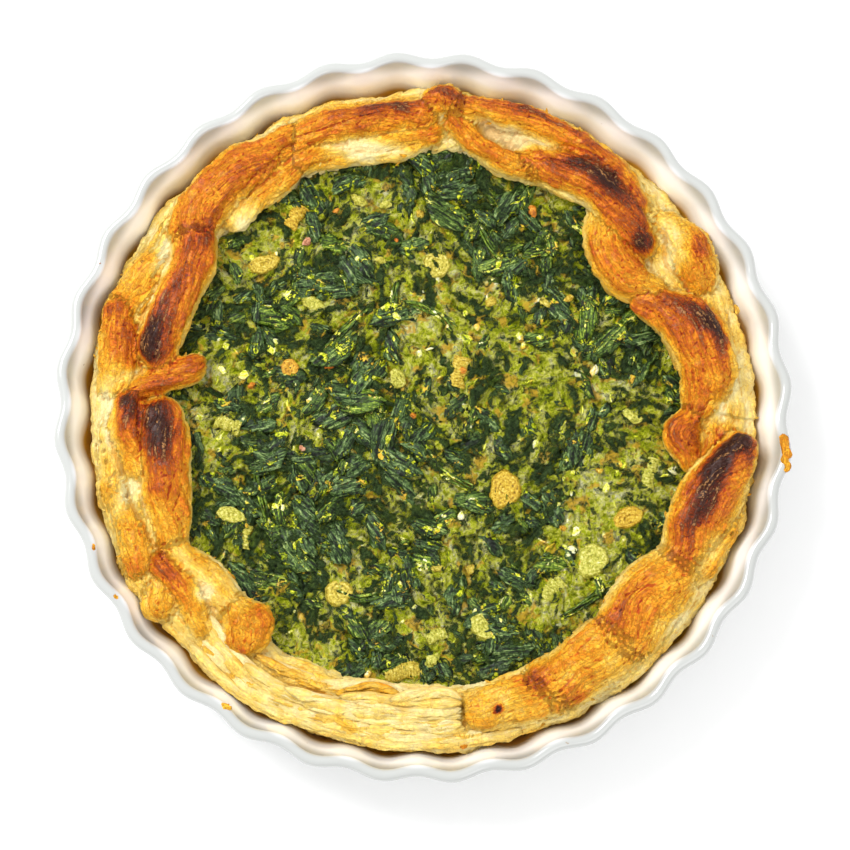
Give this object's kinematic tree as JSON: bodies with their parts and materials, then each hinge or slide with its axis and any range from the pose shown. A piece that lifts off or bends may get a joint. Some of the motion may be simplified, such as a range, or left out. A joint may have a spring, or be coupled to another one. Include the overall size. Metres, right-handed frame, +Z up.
{
  "type": "spinach tart in a fluted baking dish",
  "caption": "Open round spinach tart with a folded puff pastry edge, standing in its white fluted porcelain baking dish.",
  "frame": {"origin": "centre of the dish's foot, on the surface that it stands on", "axes": "+Z up; +Y towards the point where the pastry's edge is pinched; +X to the right of it seen from above"},
  "size_m": [0.279, 0.279, 0.0496],
  "materials": {
    "white_glaze": "glossy white glaze on porcelain",
    "baked_puff_pastry": "golden to dark brown baked puff pastry with pale flaky edges",
    "spinach_filling": "dark green chopped spinach in moist yellow-green custard",
    "spring_onion": "soft yellow-green baked spring onion"
  },
  "bodies": {
    "root": {"dish": "white_glaze", "pastry_case": "baked_puff_pastry", "spinach_filling": "spinach_filling", "spring_onion_slice_1": "spring_onion", "spring_onion_slice_2": "spring_onion", "spring_onion_slice_3": "spring_onion", "spring_onion_slice_4": "spring_onion", "spring_onion_slice_5": "spring_onion", "spring_onion_slice_6": "spring_onion", "spring_onion_slice_7": "spring_onion", "spring_onion_slice_8": "spring_onion", "spring_onion_slice_9": "spring_onion"}
  },
  "joints": []
}
